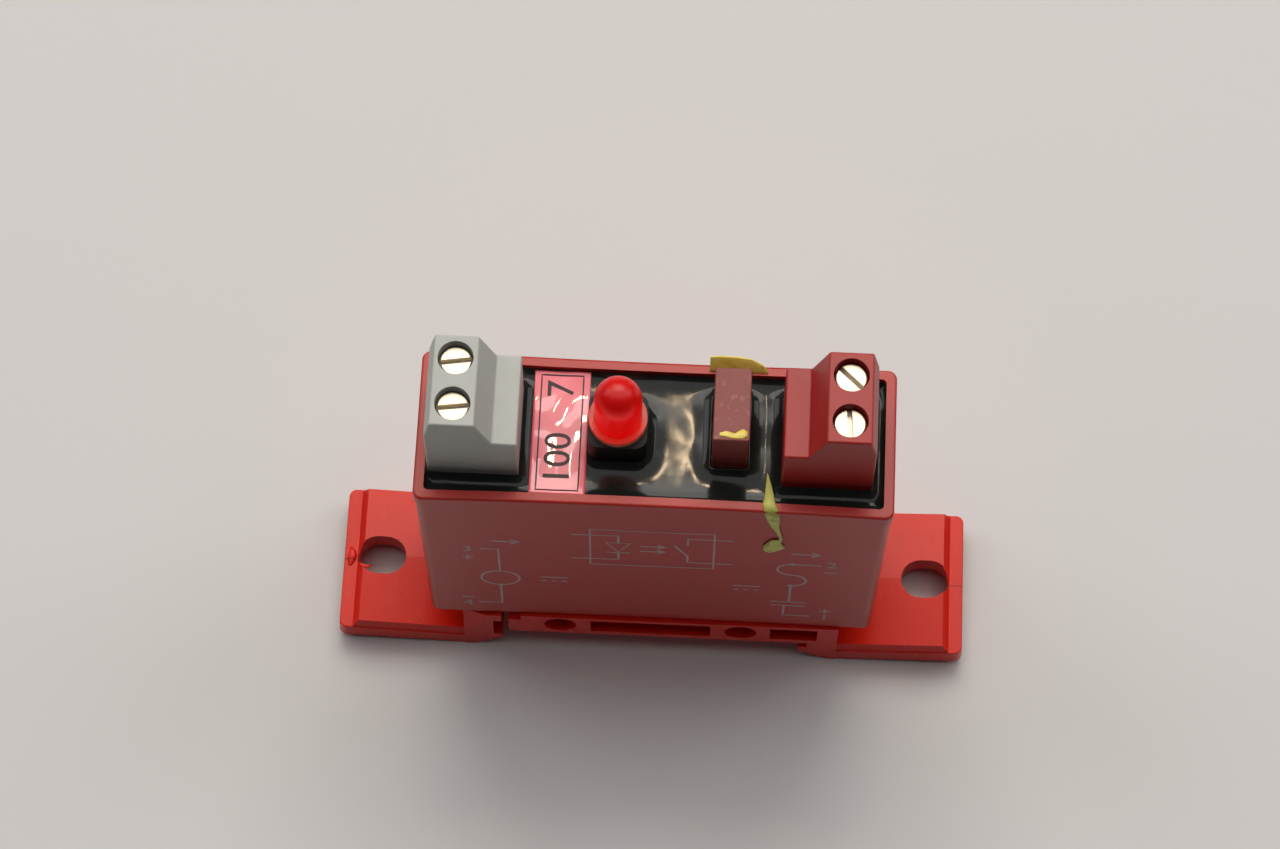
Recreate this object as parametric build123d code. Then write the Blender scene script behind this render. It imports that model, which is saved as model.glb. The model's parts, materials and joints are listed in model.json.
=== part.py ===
from build123d import *
import math
import os

# A DIN-rail solid state relay. Millimetres; +X runs along the rail's width from the input
# terminals to the output terminals, -Y is the printed front, and Z = 0 is under the feet.

# ---- DIN rail and the base that grips it
RAIL_WIDTH = 35.0
RAIL_SIDE_CLEARANCE = 0.15
RAIL_SEAT_HEIGHT = 4.7
WING_LENGTH = 10.4
BASE_SETBACK = 0.075
DECK_HEIGHT = 9.4
HOOK_BACK = 3.35
FOOT_FLAT = 1.0
HOOK_REACH = 0.95
HOOK_TIP = 1.1
HOOK_GROOVE = 1.3
LATCH_GROOVE = 4.0
SLIT = 0.8
SECTION_ROUND = 0.6

# ---- mounting wings
WING_RISE = 1.0
WING_EDGE = 2.5
WING_STEP = 1.4
WING_CROWN = 0.2
STRIP_WIDTH = 1.5
STEP_SLOPE = 0.7
LEDGE = 0.15
LEDGE_SLOPE = 0.25
WING_CORNER = 0.9
WING_ROUND = 0.25
WING_SKIN = 2.4
WING_SKIRT = 1.5
SLOT_INSET = 4.6
SLOT_LENGTH = 5.4
SLOT_WIDTH = 4.5
GATE_OFFSET = 0.2
GATE_R = 0.3
GATE_STUB = 0.45

# ---- core-outs of the rail section
CORE_WEB = 1.8
CORE_FLOOR = 0.9
CORE_ROOF = 0.7
END_CORE_LENGTH = 5.3
END_CORE_BACK = 2.3
CROSS_HOLE_R = 1.8
CROSS_HOLE_DROP = 2.2
CROSS_HOLE_OUTER_WEB = 1.5
CROSS_HOLE_INNER_WEB = 1.6

# ---- flexing neck of the latch foot
NECK_THICKNESS = 0.8
NECK_DROP = 0.8
NECK_SETBACK = 1.1
NECK_PIVOT_INSET = 0.1
NECK_NOTCH = 1.4
KNUCKLE_CLEARANCE = 0.05
FOOT_TOP_INNER_GAP = 0.2
FOOT_TOP_OUTER_GAP = 0.7
FACET_LENGTH = 3.0
FACET_DEPTH = 1.0

# ---- case
CASE_LENGTH = 50.0
CASE_WIDTH = 16.95
CASE_HEIGHT = 33.6
CASE_DRAFT_LENGTH = 0.35
CASE_DRAFT_WIDTH = 0.2
CASE_WALL = 0.95
CASE_FLOOR = 1.2
CASE_CORNER = 1.0
CASE_BOW = 0.25
RIM_ROUND = 0.3
FLOOR_ROUND = 0.4
RIM_HEIGHT = 1.6
RIM_PROUD = 0.15
POTTING_DEPTH = 1.4

# ---- circuit boards
BOARD = 1.6
TOP_BOARD_END_GAP = 0.25
TOP_BOARD_SIDE_GAP = 0.075
TOP_BOARD_BELOW_POTTING = 1.0
MAIN_BOARD_END_GAP = 2.55
BOARD_GAP = 0.4
BOARD_FLOOR_GAP = 1.6
PIN_STUB = 1.0
LINK_PIN = 0.64
LINK_PIN_XS = (-12.7, -10.2, 0.6, 3.1, 10.2, 12.5)
LINK_PIN_OFFSET = 1.4
LINK_PIN_DROP = 2.6

# ---- screw terminals
POLE_PITCH = 5.08
INPUT_BLOCK_GAP = 0.25
OUTPUT_BLOCK_GAP = 1.25
BLOCK_HEIGHT = 14.0
BLOCK_TOP_HALF = 2.28
BLOCK_OUTER = 2.95
BLOCK_INNER = 6.55
OUTER_CHAMFER_DROP = 3.1
SHELF_DROP = 4.4
SHELF_OUTER = 3.95
BLOCK_ROUND = 0.25
SCREW_WELL_CLEARANCE = 0.13
SCREW_HEAD_OVERHANG = 0.42
SCREW_HEAD_DEPTH = 0.9
SCREW_HEAD = 1.6
SCREW_SLOT_WIDTH = 0.55
SCREW_SLOT_DEPTH = 0.8
SCREW_R = 1.3
SCREW_CLEARANCE = 0.05
WEB = 1.0
CAGE_LENGTH = 3.9
CAGE_BORE_WALL = 0.4
CAGE_CLEARANCE = 0.1
CAGE_SIDE = 0.5
CAGE_TOP = 1.5
CAGE_WINDOW = 3.9
CAGE_FLOOR = 0.7
CAGE_TRAVEL = 2.5
TAB_WIDTH = 2.2
TAB = 0.8
TAB_CLEARANCE = 0.1
SOLDER_PIN = 0.8
WIRE_ENTRY_SHOULDER = 0.1
WIRE_ENTRY_RAISE = 0.3
SLOT_ANGLES = {"input_rear": 9.0, "input_front": 8.0, "output_rear": -43.0, "output_front": -86.0}

# ---- indicator, fuse and marker
LED_X = -4.0
LED_R = 2.5
LED_HEIGHT = 7.8
LED_FLANGE_STEP = 0.55
LED_FLANGE = 1.0
LED_LEAD = 0.5
LED_LEAD_PITCH = 2.54
SPACER_MARGIN = 0.05
SPACER_HEIGHT = 5.5
SPACER_CORNER = 1.3
FUSE_X = 7.75
FUSE_Y = 0.9
FUSE_LENGTH = 8.2
FUSE_WIDTH = 3.8
FUSE_HEIGHT = 8.0
FUSE_EDGE = 0.3
FUSE_PIN_R = 0.3
FUSE_PIN_LENGTH = 3.2
FUSE_PIN_PITCH = 5.08
SOCKET_R = 0.8
SOCKET_CLEARANCE = 0.05
SOCKET_BELOW_PIN = 0.4
MARKER_LED_GAP = 0.05
MARKER_WIDTH = 5.9
MARKER_THICKNESS = 0.7
MARKER_END_GAP = 0.15
MARKER_CORNER = 0.3

# ---- power stage and small parts on the main board
SPREADER_END_GAP = 5.55
SPREADER_TOP_GAP = 0.4
SPREADER = 1.2
SPREADER_WALL_GAP = 0.3
TRANSISTOR_X = 1.0
TRANSISTOR_WIDTH = 10.0
TRANSISTOR_BODY_HEIGHT = 9.0
TRANSISTOR_BODY = 3.1
TRANSISTOR_TAB = 1.3
TRANSISTOR_TAB_HEIGHT = 15.5
TRANSISTOR_LEAD = 0.8
TRANSISTOR_LEAD_PITCH = 2.54
TRANSISTOR_LEAD_DROP = 4.0
TRANSISTOR_BOARD_GAP = 0.675
TRANSISTOR_RAISE = 6.8
TRANSISTOR_HOLE_DROP = 3.0
TAB_SCREW_R = 1.5
TAB_SCREW_HEAD_R = 2.75
TAB_SCREW_HEAD = 1.8
COUPLER_INSET = 8.0
COUPLER_RAISE = 15.8
COUPLER_LENGTH = 8.8
COUPLER_WIDTH = 6.4
COUPLER_THICKNESS = 3.5
COUPLER_STANDOFF = 0.5
COUPLER_LEAD = 0.5
COUPLER_LEAD_REACH = 0.7
COUPLER_LEAD_PITCH = 2.54
RESISTOR_R = 1.15
RESISTOR_LENGTH = 6.3
RESISTOR_RAISE = 4.8
RESISTOR_INSET = 4.0
RESISTOR_STEP = 4.5
RESISTOR_COUNT = 3
LEAD_R = 0.3
LEAD_RUN = 1.4
DIODE_R = 1.8
DIODE_LENGTH = 7.0
DIODE_INSET = 7.0
DIODE_RAISE = 5.8
CAPACITOR_R = 2.6
CAPACITOR_LENGTH = 5.4
CAPACITOR_X = 3.5
CAPACITOR_RAISE = 16.8
CAPACITOR_LEAD_PITCH = 2.0
MOUNT_STANDOFF = 0.1

# ---- levels and places that follow from the sizes above
BASE_LENGTH = CASE_LENGTH + 2 * WING_LENGTH
BASE_HALF = BASE_LENGTH / 2
BASE_WIDTH = CASE_WIDTH - 2 * BASE_SETBACK
GROOVE_WALL = RAIL_WIDTH / 2 + RAIL_SIDE_CLEARANCE
FOOT_END = GROOVE_WALL + HOOK_BACK
HOOK_TIP_X = GROOVE_WALL - HOOK_REACH
LIP_TOP = RAIL_SEAT_HEIGHT - HOOK_GROOVE
LIP_BOTTOM = LIP_TOP - HOOK_TIP
SECTION_END = -(HOOK_TIP_X - SLIT)
NECK_PIVOT_X = SECTION_END - NECK_PIVOT_INSET
NECK_HEIGHT = DECK_HEIGHT - NECK_DROP
SLOT_X = BASE_HALF - SLOT_INSET
GATE_X = SLOT_X + GATE_OFFSET
END_CORE_X = FOOT_END - END_CORE_BACK - END_CORE_LENGTH / 2
CROSS_HOLE_X = END_CORE_X - END_CORE_LENGTH / 2 - CROSS_HOLE_OUTER_WEB - CROSS_HOLE_R
CROSS_HOLE_HEIGHT = DECK_HEIGHT - CROSS_HOLE_DROP
MID_CORE_LENGTH = 2 * (CROSS_HOLE_X - CROSS_HOLE_R - CROSS_HOLE_INNER_WEB)

RIM_Z = DECK_HEIGHT + CASE_HEIGHT
POTTING_Z = RIM_Z - POTTING_DEPTH
MOUTH_HALF_LENGTH = CASE_LENGTH / 2 - RIM_PROUD - CASE_WALL
CAVITY_HALF_LENGTH = MOUTH_HALF_LENGTH - CASE_DRAFT_LENGTH
CAVITY_HALF_WIDTH = CASE_WIDTH / 2 - CASE_DRAFT_WIDTH - RIM_PROUD - CASE_WALL
SPREADER_BACK = CAVITY_HALF_WIDTH - SPREADER_WALL_GAP
SPREADER_FRONT = SPREADER_BACK - SPREADER
TRANSISTOR_FRONT = SPREADER_FRONT - TRANSISTOR_TAB - TRANSISTOR_BODY

TOP_BOARD_LENGTH = 2 * (CAVITY_HALF_LENGTH - TOP_BOARD_END_GAP)
TOP_BOARD_WIDTH = 2 * (CAVITY_HALF_WIDTH - TOP_BOARD_SIDE_GAP)
TOP_BOARD_Z = POTTING_Z - TOP_BOARD_BELOW_POTTING
TOP_BOARD_BASE = TOP_BOARD_Z - BOARD
MAIN_BOARD_LENGTH = 2 * (CAVITY_HALF_LENGTH - MAIN_BOARD_END_GAP)
MAIN_BOARD_TOP = TOP_BOARD_BASE - PIN_STUB - BOARD_GAP
MAIN_BOARD_BASE = DECK_HEIGHT + CASE_FLOOR + BOARD_FLOOR_GAP
MAIN_BOARD_BACK = TRANSISTOR_FRONT - TRANSISTOR_BOARD_GAP
MAIN_BOARD_Y = MAIN_BOARD_BACK - BOARD

INPUT_AXIS_X = BLOCK_OUTER + INPUT_BLOCK_GAP - MOUTH_HALF_LENGTH
OUTPUT_AXIS_X = MOUTH_HALF_LENGTH - OUTPUT_BLOCK_GAP - BLOCK_OUTER
BLOCK_TOP = TOP_BOARD_Z + BLOCK_HEIGHT
SCREW_HEAD_R = SCREW_R + SCREW_HEAD_OVERHANG
SCREW_WELL_R = SCREW_HEAD_R + SCREW_WELL_CLEARANCE
HEAD_TOP = BLOCK_TOP - SCREW_HEAD_DEPTH
HEAD_SEAT = HEAD_TOP - SCREW_HEAD
CAGE_WIDTH = 2 * (SCREW_R + CAGE_BORE_WALL)
CHAMBER_TOP = HEAD_SEAT - WEB
CAGE_REST_TOP = CHAMBER_TOP - CAGE_CLEARANCE - CAGE_TRAVEL
TAB_TOP = CAGE_REST_TOP - CAGE_TOP - TAB_CLEARANCE
CAGE_BASE = CAGE_REST_TOP - CAGE_TOP - CAGE_WINDOW - CAGE_FLOOR
CHAMBER_BASE = CAGE_BASE - CAGE_CLEARANCE
WIRE_ENTRY_WIDTH = CAGE_WIDTH - 2 * WIRE_ENTRY_SHOULDER

LED_FLANGE_R = LED_R + LED_FLANGE_STEP
SPACER_SIZE = 2 * (LED_FLANGE_R + SPACER_MARGIN)
MARKER_X = LED_X - SPACER_SIZE / 2 - MARKER_LED_GAP - MARKER_WIDTH / 2

SPREADER_LENGTH = 2 * (CAVITY_HALF_LENGTH - SPREADER_END_GAP)
SPREADER_HEIGHT = MAIN_BOARD_TOP - MAIN_BOARD_BASE - SPREADER_TOP_GAP
TRANSISTOR_BASE_Z = MAIN_BOARD_BASE + TRANSISTOR_RAISE
TAB_SCREW_Z = TRANSISTOR_BASE_Z + TRANSISTOR_TAB_HEIGHT - TRANSISTOR_HOLE_DROP
COUPLER_X = COUPLER_INSET - MAIN_BOARD_LENGTH / 2
COUPLER_Z = MAIN_BOARD_BASE + COUPLER_RAISE
RESISTOR_XS = [RESISTOR_INSET - MAIN_BOARD_LENGTH / 2 + i * RESISTOR_STEP for i in range(RESISTOR_COUNT)]
RESISTOR_Z = MAIN_BOARD_BASE + RESISTOR_RAISE
DIODE_X = MAIN_BOARD_LENGTH / 2 - DIODE_INSET
DIODE_Z = MAIN_BOARD_BASE + DIODE_RAISE
CAPACITOR_Z = MAIN_BOARD_BASE + CAPACITOR_RAISE


def block(x0, x1, y0, y1, z0, z1):
    """A box between two corners."""
    middle = ((x0 + x1) / 2, (y0 + y1) / 2, (z0 + z1) / 2)
    return Pos(*middle) * Box(x1 - x0, y1 - y0, z1 - z0)


def post(x, y, z0, z1, radius):
    """An upright cylinder between two levels."""
    return Pos(x, y, (z0 + z1) / 2) * Cylinder(radius, z1 - z0)


def rod_y(x, z, y0, y1, radius):
    """A cylinder along Y."""
    return Pos(x, (y0 + y1) / 2, z) * Rot(90, 0, 0) * Cylinder(radius, y1 - y0)


def plate_xz(points, width, rounds=()):
    """A section in the XZ plane, its picked corners rounded, extruded evenly about Y = 0."""
    sketch = make_face(Polyline(*points, close=True))
    for corner, radius in rounds:
        nearest = sketch.vertices().sort_by_distance(points[corner])[0]
        sketch = fillet(nearest, radius)
    return extrude(Plane.XZ * sketch, width / 2, both=True)


# ---------------------------------------------------------------- base
def wing():
    """The +X mounting wing: a skirted plate on a slightly larger edge tier, tilted outward."""
    flat_length = BASE_HALF - FOOT_END
    outline = Rectangle(2 * BASE_HALF, BASE_WIDTH)
    outline = fillet(outline.vertices(), WING_CORNER)
    tier = extrude(outline, WING_EDGE)
    tier = fillet(tier.faces().sort_by(Axis.Z)[-1].edges(), WING_ROUND / 2)
    tier = fillet(tier.faces().sort_by(Axis.Z)[0].edges(), WING_ROUND)
    tier = tier & block(FOOT_END - FOOT_FLAT, BASE_HALF, -BASE_WIDTH, BASE_WIDTH, 0, WING_EDGE)
    low_end = BASE_HALF - STRIP_WIDTH
    low_half = BASE_WIDTH / 2 - LEDGE
    high_end = low_end - STEP_SLOPE
    high_half = low_half - LEDGE_SLOPE
    low = Pos(0, 0, WING_EDGE) * Rectangle(2 * low_end, 2 * low_half)
    high = Pos(0, 0, WING_EDGE + WING_STEP) * Rectangle(2 * high_end, 2 * high_half)
    plate = loft([low, high])
    plate = plate & block(FOOT_END - FOOT_FLAT, BASE_HALF, -BASE_WIDTH, BASE_WIDTH,
                          WING_EDGE, WING_EDGE + WING_STEP)
    plate_top = WING_EDGE + WING_STEP
    crown = make_face(Polyline((-high_half, plate_top), (high_half, plate_top),
                               (0, plate_top + WING_CROWN), close=True))
    ridge_start = FOOT_END - FOOT_FLAT
    ridge = extrude(Plane.YZ.offset(ridge_start) * crown, high_end - ridge_start)
    pocket = block(FOOT_END + WING_SKIRT, BASE_HALF - WING_SKIRT, -BASE_WIDTH / 2 + WING_SKIRT,
                   BASE_WIDTH / 2 - WING_SKIRT, -1, plate_top - WING_SKIN)
    solid = tier + plate + ridge - pocket
    tilt = math.degrees(math.atan2(WING_RISE, flat_length))
    solid = Pos(FOOT_END, 0, 0) * Rot(0, -tilt, 0) * Pos(-FOOT_END, 0, 0) * solid
    slot = SlotOverall(SLOT_LENGTH, SLOT_WIDTH)
    slot = Pos(SLOT_X, 0, -1) * extrude(slot, DECK_HEIGHT)
    keep = block(FOOT_END - FOOT_FLAT, BASE_HALF + 1, -BASE_WIDTH, BASE_WIDTH, 0, DECK_HEIGHT)
    return (solid - slot) & keep


def base_frame():
    """Rail section, fixed hook and output-side wing, moulded in one."""
    points = [
        (SECTION_END, RAIL_SEAT_HEIGHT),
        (GROOVE_WALL, RAIL_SEAT_HEIGHT),
        (GROOVE_WALL, LIP_TOP),
        (HOOK_TIP_X, LIP_TOP),
        (HOOK_TIP_X, LIP_BOTTOM),
        (FOOT_END - FOOT_FLAT, 0),
        (FOOT_END, 0),
        (FOOT_END, DECK_HEIGHT),
        (SECTION_END, DECK_HEIGHT),
    ]
    body = plate_xz(points, BASE_WIDTH, [(0, SECTION_ROUND)])
    core_z0 = RAIL_SEAT_HEIGHT + CORE_FLOOR
    core_z1 = DECK_HEIGHT - CORE_ROOF
    half = BASE_WIDTH / 2
    for middle, length in ((0, MID_CORE_LENGTH), (END_CORE_X, END_CORE_LENGTH)):
        for y0, y1 in ((-half - 1, -CORE_WEB / 2), (CORE_WEB / 2, half + 1)):
            body -= block(middle - length / 2, middle + length / 2, y0, y1, core_z0, core_z1)
    for x in (-CROSS_HOLE_X, CROSS_HOLE_X):
        body -= rod_y(x, CROSS_HOLE_HEIGHT, -half - 1, half + 1, CROSS_HOLE_R)
    notch_z = NECK_HEIGHT - NECK_THICKNESS / 2
    for y0, y1 in ((-half - 1, -half + NECK_SETBACK), (half - NECK_SETBACK, half + 1)):
        body -= block(SECTION_END - 1, SECTION_END + NECK_NOTCH, y0, y1, notch_z, DECK_HEIGHT + 1)
    seat_r = NECK_THICKNESS / 2 + KNUCKLE_CLEARANCE
    body -= rod_y(NECK_PIVOT_X, NECK_HEIGHT, -half, half, seat_r)
    wing_floor = WING_RISE * (GATE_X - FOOT_END) / (BASE_HALF - FOOT_END)
    gate = post(GATE_X, -half + GATE_R, wing_floor - GATE_STUB, wing_floor + GATE_R, GATE_R)
    return body + wing() + gate


def foot_facet(side):
    """The corner sliced off the foot's upper outer face, on the front (-1) or the rear (1)."""
    top = DECK_HEIGHT
    y = side * BASE_WIDTH / 2
    corner = (-FOOT_END, y, top)
    face = make_face(Polyline(corner, (-FOOT_END, y, WING_EDGE + WING_STEP),
                              (-FOOT_END + FACET_LENGTH, y, top), close=True))
    return loft([face, Vertex(-FOOT_END, y - side * FACET_DEPTH, top)])


def latch_foot():
    """Sprung hook, its flexing neck and the input-side wing."""
    points = [
        (-GROOVE_WALL, LIP_TOP),
        (-HOOK_TIP_X, LIP_TOP),
        (-HOOK_TIP_X, LIP_BOTTOM),
        (-FOOT_END + FOOT_FLAT, 0),
        (-FOOT_END, 0),
        (-FOOT_END, DECK_HEIGHT - FOOT_TOP_OUTER_GAP),
        (-HOOK_TIP_X, DECK_HEIGHT - FOOT_TOP_INNER_GAP),
        (-HOOK_TIP_X, LIP_TOP + LATCH_GROOVE),
        (-GROOVE_WALL, LIP_TOP + LATCH_GROOVE),
    ]
    body = plate_xz(points, BASE_WIDTH) - foot_facet(-1) - foot_facet(1)
    neck_half = BASE_WIDTH / 2 - NECK_SETBACK - KNUCKLE_CLEARANCE
    z0 = NECK_HEIGHT - NECK_THICKNESS / 2
    neck = block(-GROOVE_WALL, NECK_PIVOT_X, -neck_half, neck_half, z0, z0 + NECK_THICKNESS)
    knuckle = rod_y(NECK_PIVOT_X, NECK_HEIGHT, -neck_half, neck_half, NECK_THICKNESS / 2)
    return body + neck + knuckle + mirror(wing(), about=Plane.YZ)


# ---------------------------------------------------------------- case and potting
def case_outline(length, width, z, corner, bow):
    """A rectangle with round corners whose long sides curve in by the bow."""
    x = length / 2
    y = width / 2
    r = corner
    k = r * (1 - math.sqrt(0.5))
    edges = []
    corners = ((1, 1), (-1, 1), (-1, -1), (1, -1))
    for sx, sy in corners:
        side = (sx * x, sy * (y - r))
        knee = (sx * (x - k), sy * (y - k))
        top = (sx * (x - r), sy * y)
        if sx * sy > 0:
            edges.append(ThreePointArc(side, knee, top))
            edges.append(ThreePointArc(top, (0, sy * (y - bow)), (-sx * (x - r), sy * y)))
        else:
            edges.append(ThreePointArc(top, knee, side))
            edges.append(Line(side, (side[0], -side[1])))
    return Pos(0, 0, z) * make_face(edges)


def case_form(inset, z0, z1, corner):
    """The drafted body of the case, shrunk all round by the inset, between two levels."""
    foot_length = CASE_LENGTH - 2 * (CASE_DRAFT_LENGTH + RIM_PROUD + inset)
    foot_width = CASE_WIDTH - 2 * (CASE_DRAFT_WIDTH + RIM_PROUD + inset)
    head_length = CASE_LENGTH - 2 * (RIM_PROUD + inset)
    head_width = CASE_WIDTH - 2 * (RIM_PROUD + inset)
    foot = case_outline(foot_length, foot_width, DECK_HEIGHT, corner, CASE_BOW / 2)
    head = case_outline(head_length, head_width, RIM_Z, corner, CASE_BOW)
    form = loft([foot, head])
    return form & block(-CASE_LENGTH, CASE_LENGTH, -CASE_WIDTH, CASE_WIDTH, z0, z1)


def cavity(z1):
    """The space inside the case from its floor up to a level."""
    return case_form(CASE_WALL, DECK_HEIGHT + CASE_FLOOR, z1, CASE_CORNER / 2)


def case():
    shell = case_form(0, DECK_HEIGHT, RIM_Z, CASE_CORNER)
    shell = fillet(shell.faces().sort_by(Axis.Z)[0].edges(), FLOOR_ROUND)
    outline = case_outline(CASE_LENGTH, CASE_WIDTH, RIM_Z - RIM_HEIGHT, CASE_CORNER, CASE_BOW)
    band = extrude(outline, RIM_HEIGHT)
    band = fillet(band.faces().sort_by(Axis.Z)[-1].edges(), RIM_ROUND)
    lower = shell & block(-CASE_LENGTH, CASE_LENGTH, -CASE_WIDTH, CASE_WIDTH, 0, RIM_Z - RIM_HEIGHT / 2)
    return lower + band - cavity(RIM_Z)


# ---------------------------------------------------------------- screw terminals
def housing_section(side):
    """Outline of a two-pole terminal housing; side is -1 for the outer end on -X."""
    top = BLOCK_TOP
    shape = [
        (BLOCK_OUTER, TOP_BOARD_Z),
        (BLOCK_OUTER, top - OUTER_CHAMFER_DROP),
        (BLOCK_TOP_HALF, top),
        (-BLOCK_TOP_HALF, top),
        (-SHELF_OUTER, top - SHELF_DROP),
        (-BLOCK_INNER, top - SHELF_DROP),
        (-BLOCK_INNER, TOP_BOARD_Z),
    ]
    return [(side * x, z) for x, z in shape]


def terminal_housing(axis_x, side, contacts):
    """A two-pole housing: screw wells, cage chambers and wire entries on the outer end."""
    body = plate_xz([(axis_x + x, z) for x, z in housing_section(side)], 2 * POLE_PITCH)
    body = fillet(body.edges().filter_by(lambda e: e.center().Z > RIM_Z), BLOCK_ROUND)
    chamber_x = CAGE_LENGTH / 2 + CAGE_CLEARANCE
    chamber_y = CAGE_WIDTH / 2 + CAGE_CLEARANCE
    outer = axis_x + side * (BLOCK_OUTER + 1)
    entry_z0 = RIM_Z + WIRE_ENTRY_RAISE
    for y in (-POLE_PITCH / 2, POLE_PITCH / 2):
        body -= post(axis_x, y, HEAD_SEAT, BLOCK_TOP + 1, SCREW_WELL_R)
        body -= post(axis_x, y, CHAMBER_TOP - 1, HEAD_SEAT + 1, SCREW_R + SCREW_CLEARANCE)
        body -= block(axis_x - chamber_x, axis_x + chamber_x, y - chamber_y, y + chamber_y,
                      CHAMBER_BASE, CHAMBER_TOP)
        body -= block(min(axis_x, outer), max(axis_x, outer), y - WIRE_ENTRY_WIDTH / 2,
                      y + WIRE_ENTRY_WIDTH / 2, entry_z0, TAB_TOP)
    return body - contacts


def contact(axis_x, side, y):
    """The fixed tab that the wire is pressed against, with its solder pin."""
    wall = CAGE_LENGTH / 2 + CAGE_CLEARANCE
    tab_in = axis_x - side * (wall + 2 * SOLDER_PIN)
    tab_out = axis_x + side * wall
    tab = block(min(tab_in, tab_out), max(tab_in, tab_out), y - TAB_WIDTH / 2, y + TAB_WIDTH / 2,
                TAB_TOP - TAB, TAB_TOP)
    pin_x = tab_in + side * SOLDER_PIN / 2
    pin = block(pin_x - SOLDER_PIN / 2, pin_x + SOLDER_PIN / 2, y - SOLDER_PIN / 2,
                y + SOLDER_PIN / 2, TOP_BOARD_BASE - PIN_STUB, TAB_TOP - TAB)
    return tab + pin


def terminal_screw(axis_x, y, slot_angle):
    """A captive slotted screw whose tip bears on the contact tab."""
    tip = TAB_TOP + SCREW_CLEARANCE
    head = post(axis_x, y, HEAD_SEAT, HEAD_TOP, SCREW_HEAD_R)
    head = chamfer(head.edges().filter_by(GeomType.CIRCLE).sort_by(Axis.Z)[-1], 0.2)
    shank = post(axis_x, y, tip, HEAD_SEAT, SCREW_R)
    slot = Box(3 * SCREW_HEAD_R, SCREW_SLOT_WIDTH, 2 * SCREW_SLOT_DEPTH)
    return head + shank - Pos(axis_x, y, HEAD_TOP) * Rot(0, 0, slot_angle) * slot


def clamp_cage(axis_x, y):
    """The rising cage that lifts the wire against the contact tab."""
    half_x = CAGE_LENGTH / 2
    half_y = CAGE_WIDTH / 2
    body = block(axis_x - half_x, axis_x + half_x, y - half_y, y + half_y, CAGE_BASE, CAGE_REST_TOP)
    window_y = half_y - CAGE_SIDE
    window_z = CAGE_BASE + CAGE_FLOOR
    body -= block(axis_x - half_x - 1, axis_x + half_x + 1, y - window_y, y + window_y,
                  window_z, window_z + CAGE_WINDOW)
    return body - post(axis_x, y, window_z, CAGE_REST_TOP + 1, SCREW_R + SCREW_CLEARANCE)


# ---------------------------------------------------------------- indicator, fuse, marker
def led_lens():
    z0 = TOP_BOARD_Z + SPACER_HEIGHT
    flange = post(LED_X, 0, z0, z0 + LED_FLANGE, LED_FLANGE_R)
    flange = flange & block(LED_X - LED_FLANGE_R, LED_X + LED_FLANGE_R, -LED_FLANGE_R, LED_R,
                            z0, z0 + LED_FLANGE)
    barrel = post(LED_X, 0, z0 + LED_FLANGE / 2, z0 + LED_HEIGHT - LED_R, LED_R)
    return flange + barrel + Pos(LED_X, 0, z0 + LED_HEIGHT - LED_R) * Sphere(LED_R)


def led_leads():
    half = LED_LEAD / 2
    leads = []
    for y in (-LED_LEAD_PITCH / 2, LED_LEAD_PITCH / 2):
        leads.append(block(LED_X - half, LED_X + half, y - half, y + half,
                           TOP_BOARD_BASE - PIN_STUB, TOP_BOARD_Z + SPACER_HEIGHT))
    return leads


def led_spacer(leads):
    outline = fillet(Rectangle(SPACER_SIZE, SPACER_SIZE).vertices(), SPACER_CORNER)
    return Pos(LED_X, 0, TOP_BOARD_Z) * extrude(outline, SPACER_HEIGHT) - leads


def fuse_body():
    body = Box(FUSE_WIDTH, FUSE_LENGTH, FUSE_HEIGHT)
    body = fillet(body.edges().filter_by(Axis.Z), FUSE_EDGE)
    body = fillet(body.faces().sort_by(Axis.Z)[-1].edges(), FUSE_EDGE / 2)
    return Pos(FUSE_X, FUSE_Y, POTTING_Z + FUSE_HEIGHT / 2) * body


def fuse_pin_places():
    return [FUSE_Y - FUSE_PIN_PITCH / 2, FUSE_Y + FUSE_PIN_PITCH / 2]


def fuse_pins():
    return [post(FUSE_X, y, POTTING_Z - FUSE_PIN_LENGTH, POTTING_Z, FUSE_PIN_R)
            for y in fuse_pin_places()]


def fuse_sockets():
    bottom = POTTING_Z - FUSE_PIN_LENGTH - SOCKET_BELOW_PIN
    sockets = []
    for y in fuse_pin_places():
        bore = post(FUSE_X, y, bottom + SOCKET_BELOW_PIN / 2, POTTING_Z + 1,
                    FUSE_PIN_R + SOCKET_CLEARANCE)
        sockets.append(post(FUSE_X, y, bottom, POTTING_Z, SOCKET_R) - bore)
    return sockets


def fuse_socket_plugs():
    bottom = POTTING_Z - FUSE_PIN_LENGTH - SOCKET_BELOW_PIN
    return [post(FUSE_X, y, bottom, POTTING_Z, SOCKET_R) for y in fuse_pin_places()]


def marker_label():
    width = 2 * (CASE_WIDTH / 2 - RIM_PROUD - CASE_WALL - CASE_BOW - MARKER_END_GAP)
    outline = fillet(Rectangle(MARKER_WIDTH, width).vertices(), MARKER_CORNER)
    return Pos(MARKER_X, 0, POTTING_Z) * extrude(outline, MARKER_THICKNESS)


# ---------------------------------------------------------------- boards and parts
def link_pins():
    """Right-angle pins that join the two boards."""
    half = LINK_PIN / 2
    y = MAIN_BOARD_Y - LINK_PIN_OFFSET
    z = MAIN_BOARD_TOP - LINK_PIN_DROP
    pins = []
    for x in LINK_PIN_XS:
        upright = block(x - half, x + half, y - half, y + half, z - half, TOP_BOARD_Z + BOARD_GAP)
        foot = block(x - half, x + half, y - half, MAIN_BOARD_BACK + half, z - half, z + half)
        pins.append(upright + foot)
    return pins


def heat_spreader():
    z0 = MAIN_BOARD_BASE
    plate = block(-SPREADER_LENGTH / 2, SPREADER_LENGTH / 2, SPREADER_FRONT, SPREADER_BACK,
                  z0, z0 + SPREADER_HEIGHT)
    return plate - rod_y(TRANSISTOR_X, TAB_SCREW_Z, SPREADER_FRONT - 1, SPREADER_BACK + 1, TAB_SCREW_R)


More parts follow.
